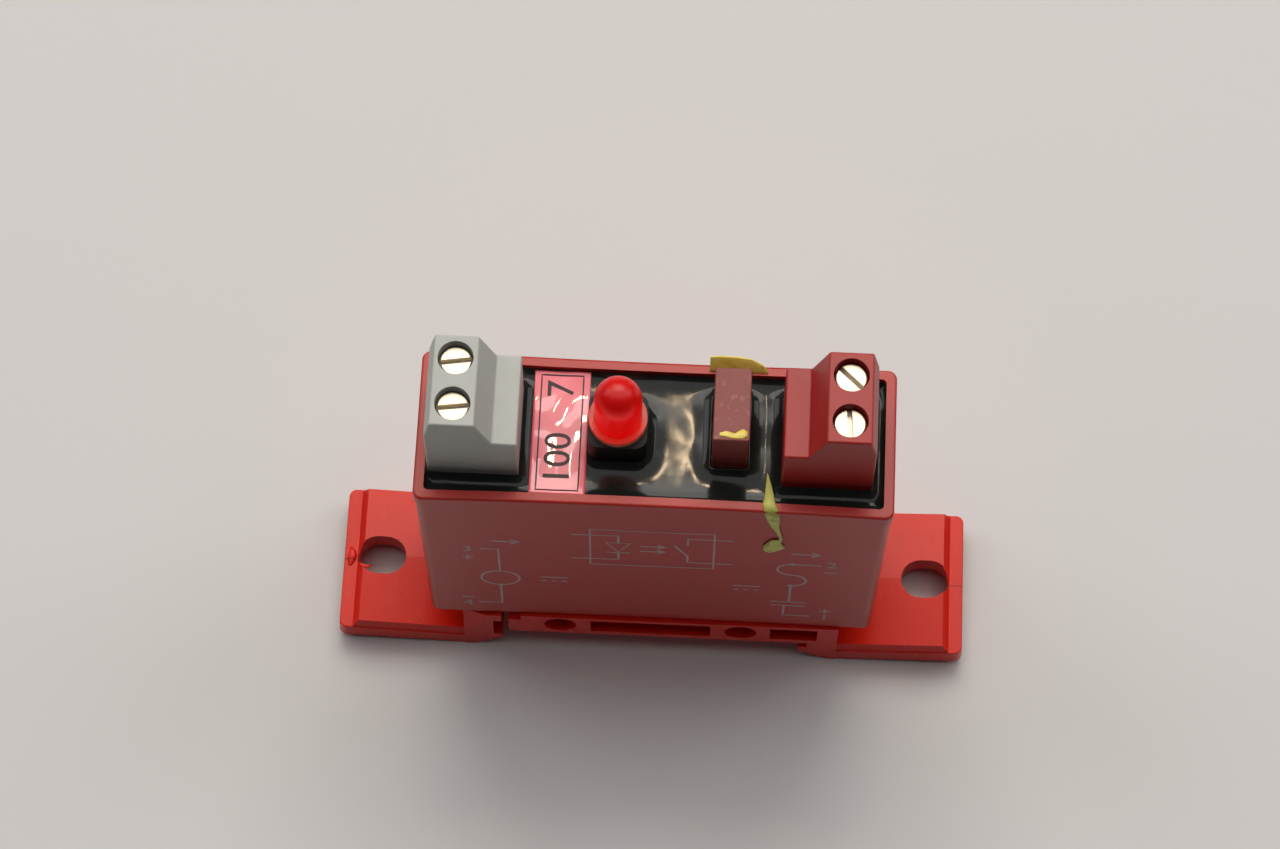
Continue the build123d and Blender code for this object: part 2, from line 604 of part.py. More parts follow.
def transistor_body():
    x0 = TRANSISTOR_X - TRANSISTOR_WIDTH / 2
    return block(x0, x0 + TRANSISTOR_WIDTH, TRANSISTOR_FRONT, TRANSISTOR_FRONT + TRANSISTOR_BODY,
                 TRANSISTOR_BASE_Z, TRANSISTOR_BASE_Z + TRANSISTOR_BODY_HEIGHT)


def transistor_tab():
    y1 = SPREADER_FRONT
    x0 = TRANSISTOR_X - TRANSISTOR_WIDTH / 2
    tab = block(x0, x0 + TRANSISTOR_WIDTH, y1 - TRANSISTOR_TAB, y1,
                TRANSISTOR_BASE_Z, TRANSISTOR_BASE_Z + TRANSISTOR_TAB_HEIGHT)
    return tab - rod_y(TRANSISTOR_X, TAB_SCREW_Z, y1 - TRANSISTOR_TAB - 1, y1 + 1, TAB_SCREW_R)


def transistor_leads():
    """Three leads that drop from the body and turn into the board."""
    half = TRANSISTOR_LEAD / 2
    y = TRANSISTOR_FRONT + TRANSISTOR_BODY / 2
    z = TRANSISTOR_BASE_Z - TRANSISTOR_LEAD_DROP
    leads = []
    for i in (-1, 0, 1):
        x = TRANSISTOR_X + i * TRANSISTOR_LEAD_PITCH
        drop = block(x - half, x + half, y - half / 2, y + half / 2, z, TRANSISTOR_BASE_Z)
        turn = block(x - half, x + half, MAIN_BOARD_Y - PIN_STUB / 2, y + half / 2, z, z + half)
        leads.append(drop + turn)
    return leads


def tab_screw():
    y1 = SPREADER_FRONT - TRANSISTOR_TAB
    head = rod_y(TRANSISTOR_X, TAB_SCREW_Z, y1 - TAB_SCREW_HEAD, y1, TAB_SCREW_HEAD_R)
    shank = rod_y(TRANSISTOR_X, TAB_SCREW_Z, y1, SPREADER_BACK, TAB_SCREW_R)
    slot = block(TRANSISTOR_X - TAB_SCREW_HEAD_R, TRANSISTOR_X + TAB_SCREW_HEAD_R,
                 y1 - TAB_SCREW_HEAD - 1, y1 - TAB_SCREW_HEAD / 2,
                 TAB_SCREW_Z - SCREW_SLOT_WIDTH / 2, TAB_SCREW_Z + SCREW_SLOT_WIDTH / 2)
    return head + shank - slot


def coupler_body():
    y1 = MAIN_BOARD_Y - COUPLER_STANDOFF
    return block(COUPLER_X - COUPLER_LENGTH / 2, COUPLER_X + COUPLER_LENGTH / 2,
                 y1 - COUPLER_THICKNESS, y1, COUPLER_Z - COUPLER_WIDTH / 2,
                 COUPLER_Z + COUPLER_WIDTH / 2)


def coupler_leads():
    half = COUPLER_LEAD / 2
    y_mid = MAIN_BOARD_Y - COUPLER_STANDOFF - COUPLER_THICKNESS / 2
    leads = []
    for side in (-1, 1):
        root = COUPLER_Z + side * COUPLER_WIDTH / 2
        knee = root + side * COUPLER_LEAD_REACH
        z0, z1 = sorted((root, knee))
        k0, k1 = sorted((knee, knee - side * COUPLER_LEAD))
        for i in (-1, 0, 1):
            x = COUPLER_X + i * COUPLER_LEAD_PITCH
            arm = block(x - half, x + half, y_mid - half, y_mid + half, z0, z1)
            leg = block(x - half, x + half, y_mid - half, MAIN_BOARD_BACK + PIN_STUB / 2, k0, k1)
            leads.append(arm + leg)
    return leads


def axial_part(x, z, radius, length):
    """A standing axial part in front of the board: its body and its two bent leads."""
    y = MAIN_BOARD_Y - radius - MOUNT_STANDOFF
    body = post(x, y, z - length / 2, z + length / 2, radius)
    leads = []
    for side in (-1, 1):
        root = z + side * length / 2
        knee = root + side * LEAD_RUN
        z0, z1 = sorted((root, knee))
        run = post(x, y, z0, z1, LEAD_R)
        bend = Pos(x, y, knee) * Sphere(LEAD_R)
        leg = rod_y(x, knee, y, MAIN_BOARD_BACK + PIN_STUB / 2, LEAD_R)
        leads.append(run + bend + leg)
    return body, leads


def capacitor_body():
    y1 = MAIN_BOARD_Y - MOUNT_STANDOFF
    return rod_y(CAPACITOR_X, CAPACITOR_Z, y1 - CAPACITOR_LENGTH, y1, CAPACITOR_R)


def capacitor_leads():
    y1 = MAIN_BOARD_Y - MOUNT_STANDOFF
    return [rod_y(CAPACITOR_X + side * CAPACITOR_LEAD_PITCH / 2, CAPACITOR_Z, y1,
                  MAIN_BOARD_BACK + PIN_STUB / 2, LEAD_R) for side in (-1, 1)]


def group(pieces):
    """Separate solids that share one node."""
    return Compound(children=[Part(piece.wrapped) for piece in pieces])


# ---------------------------------------------------------------- assembly
nodes = {}

input_contacts = [contact(INPUT_AXIS_X, -1, y) for y in (-POLE_PITCH / 2, POLE_PITCH / 2)]
output_contacts = [contact(OUTPUT_AXIS_X, 1, y) for y in (-POLE_PITCH / 2, POLE_PITCH / 2)]
nodes["base_frame"] = base_frame()
nodes["latch_foot"] = latch_foot()
nodes["case"] = case()
nodes["input_terminal_housing"] = terminal_housing(INPUT_AXIS_X, -1, input_contacts)
nodes["output_terminal_housing"] = terminal_housing(OUTPUT_AXIS_X, 1, output_contacts)
nodes["input_contacts"] = group(input_contacts)
nodes["output_contacts"] = group(output_contacts)
for block_name, axis_x in (("input", INPUT_AXIS_X), ("output", OUTPUT_AXIS_X)):
    for row, y in (("front", -POLE_PITCH / 2), ("rear", POLE_PITCH / 2)):
        pole = block_name + "_" + row
        nodes[pole + "_screw"] = terminal_screw(axis_x, y, SLOT_ANGLES[pole])
        nodes[pole + "_clamp_cage"] = clamp_cage(axis_x, y)

leads = led_leads()
nodes["led_lens"] = led_lens()
nodes["led_leads"] = group(leads)
nodes["led_spacer"] = led_spacer(leads)
nodes["fuse_body"] = fuse_body()
nodes["fuse_pins"] = group(fuse_pins())
sockets = fuse_sockets()
nodes["fuse_sockets"] = group(sockets)
nodes["marker_label"] = marker_label()

pins = link_pins()
nodes["board_link_pins"] = group(pins)
power_leads = transistor_leads()
nodes["heat_spreader"] = heat_spreader()
nodes["power_transistor_body"] = transistor_body()
nodes["power_transistor_tab"] = transistor_tab()
nodes["power_transistor_leads"] = group(power_leads)
nodes["tab_screw"] = tab_screw()
opto_leads = coupler_leads()
nodes["optocoupler_body"] = coupler_body()
nodes["optocoupler_leads"] = group(opto_leads)

resistors = [axial_part(x, RESISTOR_Z, RESISTOR_R, RESISTOR_LENGTH) for x in RESISTOR_XS]
resistor_wires = [lead for _, wires in resistors for lead in wires]
nodes["resistor_bodies"] = group([body for body, _ in resistors])
nodes["resistor_leads"] = group(resistor_wires)
diode, diode_wires = axial_part(DIODE_X, DIODE_Z, DIODE_R, DIODE_LENGTH)
nodes["clamp_diode_body"] = diode
nodes["clamp_diode_leads"] = group(diode_wires)
cap_wires = capacitor_leads()
nodes["capacitor_body"] = capacitor_body()
nodes["capacitor_leads"] = group(cap_wires)

through_top = input_contacts + output_contacts + leads + fuse_socket_plugs() + pins
top_board = block(-TOP_BOARD_LENGTH / 2, TOP_BOARD_LENGTH / 2, -TOP_BOARD_WIDTH / 2,
                  TOP_BOARD_WIDTH / 2, TOP_BOARD_BASE, TOP_BOARD_Z)
through_main = pins + power_leads + opto_leads + resistor_wires + diode_wires + cap_wires
main_board = block(-MAIN_BOARD_LENGTH / 2, MAIN_BOARD_LENGTH / 2, MAIN_BOARD_Y,
                   MAIN_BOARD_BACK, MAIN_BOARD_BASE, MAIN_BOARD_TOP)
nodes["top_board"] = top_board - through_top
nodes["main_board"] = main_board - through_main

whole_housings = []
for axis_x, side in ((INPUT_AXIS_X, -1), (OUTPUT_AXIS_X, 1)):
    outline = [(axis_x + x, z) for x, z in housing_section(side)]
    whole_housings.append(plate_xz(outline, 2 * POLE_PITCH))
embedded = whole_housings + through_top + through_main + [
    top_board, main_board, nodes["led_spacer"], nodes["heat_spreader"],
    nodes["power_transistor_body"], nodes["power_transistor_tab"], nodes["tab_screw"],
    nodes["optocoupler_body"], diode, nodes["capacitor_body"],
] + [body for body, _ in resistors]
nodes["potting_compound"] = cavity(POTTING_Z) - embedded

os.makedirs("parts", exist_ok=True)
for name, shape in nodes.items():
    export_step(shape, "parts/" + name + ".step")
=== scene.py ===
import json
import math

import bmesh
import bpy
from mathutils import Matrix, Vector, noise
from mathutils.bvhtree import BVHTree


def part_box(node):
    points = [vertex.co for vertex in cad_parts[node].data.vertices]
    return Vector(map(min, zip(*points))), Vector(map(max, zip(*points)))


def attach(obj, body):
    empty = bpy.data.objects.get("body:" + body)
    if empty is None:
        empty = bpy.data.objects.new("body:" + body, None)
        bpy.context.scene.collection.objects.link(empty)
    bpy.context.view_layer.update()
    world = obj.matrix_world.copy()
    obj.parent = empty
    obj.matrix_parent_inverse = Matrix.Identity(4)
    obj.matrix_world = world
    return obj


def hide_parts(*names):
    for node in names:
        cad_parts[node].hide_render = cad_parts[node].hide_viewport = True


# A DIN-rail solid state relay on a bench. Metres throughout; MM turns a millimetre into metres.
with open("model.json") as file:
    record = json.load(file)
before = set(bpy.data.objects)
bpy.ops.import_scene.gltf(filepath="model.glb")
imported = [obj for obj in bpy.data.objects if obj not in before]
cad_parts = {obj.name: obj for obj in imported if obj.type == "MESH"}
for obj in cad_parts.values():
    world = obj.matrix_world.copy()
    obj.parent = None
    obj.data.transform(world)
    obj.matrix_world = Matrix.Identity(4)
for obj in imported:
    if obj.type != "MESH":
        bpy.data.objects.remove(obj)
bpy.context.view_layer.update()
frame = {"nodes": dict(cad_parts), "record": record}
nodes = frame["nodes"]
MM = 0.001
UP = Vector((0, 0, 1))
FLOOR_SIZE = 6.0
BOXES = {name: [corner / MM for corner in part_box(name)] for name in nodes}


def low(node):
    return BOXES[node][0]


def high(node):
    return BOXES[node][1]


# ------------------------------------------------------------------ camera, floor and light
def look(position, target, roll=0.0):
    """The turn that points -Z from a position to a target, rolled about the line of sight."""
    back = (Vector(position) - Vector(target)).normalized()
    side = UP.cross(back).normalized()
    top = back.cross(side)
    across = side * math.cos(roll) + top * math.sin(roll)
    upright = top * math.cos(roll) - side * math.sin(roll)
    turn = Matrix((across, upright, back)).transposed().to_4x4()
    return Matrix.Translation(position) @ turn


def make_camera():
    yaw, pitch, roll = math.radians(1.96), math.radians(66.68), math.radians(0.72)
    distance = 431.9
    target = Vector((-2.17, 13.06, 15.0)) * MM
    back = Vector((math.sin(yaw) * math.cos(pitch), -math.cos(yaw) * math.cos(pitch), math.sin(pitch)))
    data = bpy.data.cameras.new("camera")
    data.sensor_fit = "HORIZONTAL"
    data.sensor_width = 36.0
    data.lens = 108.1
    data.clip_start = 0.01
    camera = bpy.data.objects.new("camera", data)
    camera.matrix_world = look(target + back * distance * MM, target, roll)
    bpy.context.scene.collection.objects.link(camera)
    bpy.context.scene.camera = camera


def area_light(name, position, target, size, power, colour):
    data = bpy.data.lights.new(name, "AREA")
    data.shape = "RECTANGLE"
    data.size, data.size_y = size
    data.energy = power
    data.color = colour
    light = bpy.data.objects.new(name, data)
    light.matrix_world = look(position, target)
    bpy.context.scene.collection.objects.link(light)


def make_lights():
    centre = (0, 0, 0.02)
    area_light("rear_panel", (0.0, 1.0, 1.28), centre, (1.3, 0.80), 14.0, (1.0, 0.95, 0.88))
    area_light("ceiling", (0.0, 0.25, 1.5), centre, (2.2, 1.3), 10.5, (1.0, 0.98, 0.96))
    for name, side in (("left_panel", -1), ("right_panel", 1)):
        area_light(name, (side * 1.2, 0.55, 1.1), centre, (0.8, 0.8), 4.0, (0.97, 0.98, 1.0))
    area_light("warm_lamp", (0.004, 0.475, 1.14), centre, (0.03, 0.06), 0.42, (1.0, 0.74, 0.46))
    world = bpy.data.worlds.new("room")
    world.use_nodes = True
    bpy.context.scene.world = world
    background = world.node_tree.nodes["Background"]
    background.inputs["Color"].default_value = (0.80, 0.84, 0.90, 1)
    background.inputs["Strength"].default_value = 0.06
    bpy.context.scene.view_settings.view_transform = "Standard"


# ------------------------------------------------------------------ shader arithmetic
class Value:
    """A shader socket that takes Python arithmetic."""

    def __init__(self, finish, socket):
        self.finish = finish
        self.socket = socket

    def maths(self, operation, *values):
        return self.finish.node("ShaderNodeMath", {"operation": operation}, dict(enumerate(values)))

    def __add__(self, other):
        return self.maths("ADD", self, other)

    def __radd__(self, other):
        return self.maths("ADD", other, self)

    def __sub__(self, other):
        return self.maths("SUBTRACT", self, other)

    def __rsub__(self, other):
        return self.maths("SUBTRACT", other, self)

    def __mul__(self, other):
        return self.maths("MULTIPLY", self, other)

    def __rmul__(self, other):
        return self.maths("MULTIPLY", other, self)

    def __truediv__(self, other):
        return self.maths("DIVIDE", self, other)

    def __pow__(self, other):
        return self.maths("POWER", self, other)

    def __abs__(self):
        return self.maths("ABSOLUTE", self)


class Finish:
    """A material under construction: its nodes, and the Principled shader they feed."""

    def __init__(self, name, **constants):
        self.material = bpy.data.materials.new(name)
        self.material.use_nodes = True
        self.tree = self.material.node_tree
        self.shader = self.tree.nodes["Principled BSDF"]
        for socket, value in constants.items():
            self.shader.inputs[socket.replace("_", " ")].default_value = value

    def node(self, kind, settings=None, inputs=None, output=0):
        made = self.tree.nodes.new(kind)
        for key, value in (settings or {}).items():
            if key == "stops":
                self.set_stops(made.color_ramp, value)
            else:
                setattr(made, key, value)
        for key, value in (inputs or {}).items():
            if isinstance(value, Value):
                self.tree.links.new(value.socket, made.inputs[key])
            else:
                made.inputs[key].default_value = value
        return Value(self, made.outputs[output])

    def set_stops(self, ramp, stops):
        while len(ramp.elements) < len(stops):
            ramp.elements.new(0.5)
        for element, (place, colour) in zip(ramp.elements, stops):
            element.position = place
            element.color = colour

    def feed(self, socket, value):
        self.tree.links.new(value.socket, self.shader.inputs[socket])

    def place(self, stretch=(1, 1, 1), turn=(0, 0, 0)):
        """Object coordinates in millimetres; a larger stretch packs a pattern closer."""
        spot = self.node("ShaderNodeTexCoord", output="Object")
        scale = [s / MM for s in stretch]
        return self.node("ShaderNodeMapping", None, {"Vector": spot, "Rotation": turn, "Scale": scale})

    def cloud(self, size, detail=2.0, rough=0.5, **where):
        """Noise whose blobs are about a size in millimetres across, from 0 to 1."""
        return self.node("ShaderNodeTexNoise", None, {
            "Vector": self.place(**where), "Scale": 1 / size, "Detail": detail, "Roughness": rough})

    def band(self, value, start, end):
        """0 below the start, 1 past the end."""
        return self.node("ShaderNodeMapRange", {"clamp": True, "interpolation_type": "SMOOTHSTEP"}, {
            "Value": value, "From Min": start, "From Max": end})

    def mix(self, share, first, second):
        """Two colours mixed; each is a colour or a colour socket."""
        ends = {6: rgba(first), 7: rgba(second)}
        return self.node("ShaderNodeMix", {"data_type": "RGBA"}, {0: share, **ends}, output=2)

    def axis(self, letter):
        """One Object coordinate in millimetres."""
        spot = self.node("ShaderNodeTexCoord", output="Object")
        parts = self.node("ShaderNodeSeparateXYZ", None, {0: spot}, output="XYZ".index(letter))
        return parts / MM

    def raise_by(self, height, depth):
        """Bump from a height of 0 to 1, its depth in millimetres."""
        inputs = {"Strength": 1.0, "Distance": depth * MM, "Height": height}
        bump = self.node("ShaderNodeBump", None, inputs)
        self.feed("Normal", bump)


def rgba(colour):
    return colour if isinstance(colour, Value) else (*colour, 1)


# ------------------------------------------------------------------ finishes
def moulded_red():
    """Glossy red moulding: mould polishing streaks along Y, grain, wear and a parting line."""
    f = Finish("moulded_red", Specular_IOR_Level=0.22)
    tone = f.cloud(6.0, 3.0)
    grain = f.cloud(0.22, 3.0, 0.6)
    streak = f.cloud(0.32, 3.0, 0.7, stretch=(1, 0.06, 1))
    drag = f.cloud(0.9, 3.0, 0.7, stretch=(1, 0.14, 1))
    specks = f.band(f.cloud(0.6, 2.0), 0.68, 0.74)
    ends = f.band(abs(f.axis("X")), 33.2, 33.6)
    line = 1 - f.band(abs(f.axis("Y") + 0.25), 0.03, 0.12)
    colour = f.mix(tone, (0.60, 0.010, 0.003), (0.72, 0.019, 0.006))
    worn = f.band(drag, 0.60, 0.80) * 0.28
    colour = f.mix(worn, colour, (0.68, 0.10, 0.05))
    colour = f.mix(specks * 0.30, colour, (0.28, 0.006, 0.004))
    colour = f.mix(line * ends * 0.6, colour, (0.16, 0.004, 0.003))
    f.feed("Base Color", colour)
    f.feed("Roughness", 0.15 + grain * 0.08 + streak * 0.12)
    f.raise_by(grain * 0.3 + streak + drag * 0.4 - line * ends, 0.016)
    return f.material


def textured_red():
    """The case: spark-textured red with a dusty bloom in cloudy patches and pale scuffs."""
    f = Finish("textured_red", Specular_IOR_Level=0.5)
    bloom = f.cloud(9.0, 4.0, 0.55)
    grain = f.cloud(0.16, 2.0, 0.6)
    scuffs = f.band(f.cloud(1.4, 4.0, 0.7, stretch=(0.4, 1, 1)), 0.62, 0.78)
    colour = f.mix(bloom, (0.40, 0.013, 0.007), (0.47, 0.026, 0.015))
    colour = f.mix(scuffs * 0.20, colour, (0.48, 0.12, 0.09))
    f.feed("Base Color", colour)
    f.feed("Roughness", 0.28 + grain * 0.14)
    f.raise_by(grain, 0.010)
    return f.material


def potting_resin():
    """Poured black resin: glossy, with faint dust, smears and shrinkage ripples."""
    f = Finish("potting_resin", Specular_IOR_Level=0.28, Coat_Roughness=0.05)
    smear = f.cloud(3.0, 4.0, 0.6)
    dust = f.band(f.cloud(0.35, 2.0), 0.68, 0.76)
    colour = f.mix(smear, (0.007, 0.009, 0.008), (0.020, 0.024, 0.021))
    colour = f.mix(dust * 0.3, colour, (0.09, 0.09, 0.08))
    f.feed("Base Color", colour)
    f.feed("Roughness", 0.10 + f.band(smear, 0.45, 0.75) * 0.10 + dust * 0.1)
    f.raise_by(f.cloud(1.6, 2.0), 0.005)
    return f.material


def satin_plastic(name, dark, pale, grime, rough=0.5, shine=0.5):
    """Fine satin moulding with a little grime in cloudy patches."""
    f = Finish(name, Specular_IOR_Level=shine)
    tone = f.cloud(4.0, 3.0)
    grain = f.cloud(0.18, 2.0, 0.6)
    dirt = f.band(f.cloud(1.6, 4.0, 0.65), 0.58, 0.80)
    colour = f.mix(tone, dark, pale)
    f.feed("Base Color", f.mix(dirt * 0.4, colour, grime))
    f.feed("Roughness", rough - 0.08 + grain * 0.16)
    f.raise_by(grain, 0.008)
    return f.material


def plated_metal(name, dark, pale, rough=0.28, stretch=(1, 1, 1)):
    """Plated metal with fine tool marks and dull patches."""
    f = Finish(name, Metallic=1.0)
    patch = f.cloud(0.9, 3.0)
    marks = f.cloud(0.12, 2.0, 0.7, stretch=stretch)
    f.feed("Base Color", f.mix(patch, dark, pale))
    f.feed("Roughness", rough - 0.06 + patch * 0.10 + marks * 0.10)
    f.raise_by(marks, 0.006)
    return f.material


def tinted_lens():
    """Diffused red epoxy with a painted red glow on its front and lower part, standing in for light
    from behind gathered through the lens; paler at the flange, painting the light that shows through
    its thin rim.
    """
    f = Finish("tinted_lens", Specular_IOR_Level=0.35, Subsurface_Weight=1.0, Subsurface_Scale=0.0022,
               Subsurface_Radius=(1.0, 0.06, 0.04), Emission_Strength=1.0)
    base, tip = low("led_lens").z, high("led_lens").z
    rise = f.band(f.axis("Z"), base + 0.6, base + 1.3)
    swirl = f.cloud(1.8, 2.0)
    # Pale orange at the flange: painted light showing through its thin translucent rim.
    colour = f.mix(rise, (0.80, 0.22, 0.14), (0.60, 0.002, 0.002))
    f.feed("Base Color", f.mix(swirl * 0.25, colour, (0.70, 0.010, 0.008)))
    # Painted glow: red emission on the front and lower part of the lens, standing in for light from
    # behind focused through the epoxy; it is not a lit LED.
    front = 1 - f.band(f.axis("Y"), -1.6, 1.0)
    painted_glow = rise * front * (1 - f.band(f.axis("Z"), tip - 2.2, tip - 0.4))
    f.feed("Emission Color", f.mix(painted_glow, (0.02, 0.0, 0.0), (0.42, 0.0, 0.0)))
    f.feed("Roughness", 0.26 + swirl * 0.10)
    f.raise_by(f.cloud(0.8, 1.0), 0.004)
    return f.material


def fuse_moulding():
    """Brown-red fuse body with worn pale print patches."""
    f = Finish("fuse_moulding", Specular_IOR_Level=0.5)
    tone = f.cloud(2.5, 3.0)
    grain = f.cloud(0.15, 2.0, 0.6)
    worn = f.band(f.cloud(0.9, 3.0, 0.6, stretch=(1, 0.8, 1)), 0.56, 0.66)
    colour = f.mix(tone, (0.20, 0.028, 0.022), (0.27, 0.044, 0.034))
    f.feed("Base Color", f.mix(worn * 0.4, colour, (0.42, 0.16, 0.13)))
    f.feed("Roughness", 0.38 + grain * 0.16)
    f.raise_by(grain, 0.008)
    return f.material


def laminate():
    """Green glass-epoxy board with its weave."""
    f = Finish("laminate", Roughness=0.35, Specular_IOR_Level=0.5)
    weave = f.node("ShaderNodeTexWave", {"bands_direction": "X"}, {
        "Vector": f.place(), "Scale": 2.0, "Distortion": 0.6, "Detail": 1.0}, output=1)
    colour = f.mix(f.cloud(5.0), (0.03, 0.10, 0.03), (0.05, 0.15, 0.05))
    f.feed("Base Color", f.mix(weave * 0.3, colour, (0.10, 0.20, 0.08)))
    f.raise_by(weave, 0.01)
    return f.material


def marker_stock():
    """Pink-red printed tape under a clear glossy laminate."""
    f = Finish("marker_stock", Roughness=0.30, Coat_Weight=1.0, Coat_Roughness=0.03, Coat_IOR=1.5)
    tone = f.cloud(3.0, 3.0)
    fibre = f.cloud(0.3, 2.0, 0.6)
    colour = f.mix(tone, (0.86, 0.115, 0.155), (0.92, 0.175, 0.215))
    f.feed("Base Color", f.mix(fibre * 0.2, colour, (0.90, 0.25, 0.27)))
    f.feed("Roughness", 0.24 + fibre * 0.16)
    f.raise_by(f.cloud(1.6, 2.0), 0.03)
    return f.material


def ink(name, colour, worn_colour, amount):
    """Printed ink, thinned in patches."""
    f = Finish(name, Roughness=0.55)
    thin = f.band(f.cloud(0.7, 3.0, 0.7), 0.52, 0.72)
    f.feed("Base Color", f.mix(thin * amount, colour, worn_colour))
    f.raise_by(f.cloud(0.12, 2.0), 0.004)
    return f.material


def dried_lacquer(name, thick, thin, blotch):
    """Yellow seal lacquer, streaky, and duller where it is thick."""
    f = Finish(name, Specular_IOR_Level=0.5)
    streak = f.cloud(0.8, 4.0, 0.65, stretch=(1, 0.35, 1))
    blot = f.cloud(1.6, 2.0)
    colour = f.mix(streak, thick, thin)
    f.feed("Base Color", f.mix(f.band(blot, 0.50, 0.68) * 0.6, colour, blotch))
    f.feed("Roughness", 0.28 + streak * 0.25)
    f.raise_by(streak, 0.05)
    return f.material


def bench_top():
    """Plain pale laminate bench."""
    f = Finish("bench_top", Specular_IOR_Level=0.25)
    tone = f.cloud(60.0, 2.0)
    f.feed("Base Color", f.mix(tone, (0.64, 0.625, 0.615), (0.67, 0.655, 0.645)))
    f.feed("Roughness", 0.50 + tone * 0.1)
    return f.material


# ------------------------------------------------------------------ mesh helpers
def piece(name, mesh, material, body="relay_body", smooth=True):
    """A finished mesh in place, riding on its body."""
    made = bpy.data.objects.new(name, mesh)
    bpy.context.scene.collection.objects.link(made)
    mesh.materials.clear()
    mesh.materials.append(material)
    if smooth:
        mesh.shade_smooth()
    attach(made, body)
    return made


def mesh_from(work, name):
    """Closes a bmesh into a mesh with its faces turned outward."""
    bmesh.ops.recalc_face_normals(work, faces=work.faces)
    mesh = bpy.data.meshes.new(name)
    work.to_mesh(mesh)
    work.free()
    return mesh


def tree_of(node):
    mesh = nodes[node].data
    return BVHTree.FromPolygons([v.co for v in mesh.vertices], [p.vertices[:] for p in mesh.polygons])


def curve_mesh(name, splines, radius, resolution=3):
    """Round strokes along point lists, as one mesh. Each entry is (points, closed)."""
    data = bpy.data.curves.new(name, "CURVE")
    data.dimensions = "3D"
    data.bevel_depth = radius
    data.bevel_resolution = resolution
    data.use_fill_caps = True
    for points, closed in splines:
        line = data.splines.new("POLY")
        line.points.add(len(points) - 1)
        for spot, (x, y, z) in zip(line.points, points):
            spot.co = (x, y, z, 1)
        line.use_cyclic_u = closed
    holder = bpy.data.objects.new(name, data)
    mesh = bpy.data.meshes.new_from_object(holder)
    bpy.data.objects.remove(holder)
    return mesh


def text_mesh(name, words, size, depth):
    """Digits centred on the origin in the XY plane, with a little thickness."""
    data = bpy.data.curves.new(name, "FONT")
    data.body = words
    data.size = size
    data.extrude = depth / 2
    data.align_x = "CENTER"
    data.align_y = "CENTER"
    data.resolution_u = 4
    holder = bpy.data.objects.new(name, data)
    mesh = bpy.data.meshes.new_from_object(holder)
    bpy.data.objects.remove(holder)
    return mesh


def join(meshes, name):
    """Several meshes made one."""
    work = bmesh.new()
    for mesh in meshes:
        work.from_mesh(mesh)
    joined = bpy.data.meshes.new(name)
    work.to_mesh(joined)
    work.free()
    return joined


def arc(centre, radius, start, end, count):
    """Points on an arc in the XZ plane, angles in degrees from +X towards +Z."""
    cx, cz = centre
    turns = [math.radians(start + (end - start) * i / (count - 1)) for i in range(count)]
    return [(cx + radius * math.cos(t), cz + radius * math.sin(t)) for t in turns]


# ------------------------------------------------------------------ printed legend on the front
PRINT_WIDTH = 0.30
PRINT_DEPTH = 0.03
case_tree = tree_of("case")


def on_front(mesh):
    """Drops a mesh drawn in the XZ plane on to the bowed, drafted front of the case."""
    for v in mesh.vertices:
        start = Vector((v.co.x, -0.03, v.co.z))
        hit = case_tree.ray_cast(start, Vector((0, 1, 0)))[0]
        v.co.y = hit.y + v.co.y
    return mesh


def front_strokes(lines):
    """Flat printed lines; each is (points as (x, z) in millimetres, closed)."""
    splines = [([(x * MM, 0, z * MM) for x, z in points], closed) for points, closed in lines]
    mesh = curve_mesh("front_strokes", splines, PRINT_WIDTH / 2 * MM)
    flatten = Matrix.Diagonal((1, PRINT_DEPTH / PRINT_WIDTH, 1, 1))
    mesh.transform(flatten)
    return mesh


def front_digit(words, x, z, size):
    mesh = text_mesh("front_digit", words, size * MM, PRINT_DEPTH * MM)
    mesh.transform(Matrix.Translation((x * MM, 0, z * MM)) @ Matrix.Rotation(math.pi / 2, 4, "X"))
    return mesh


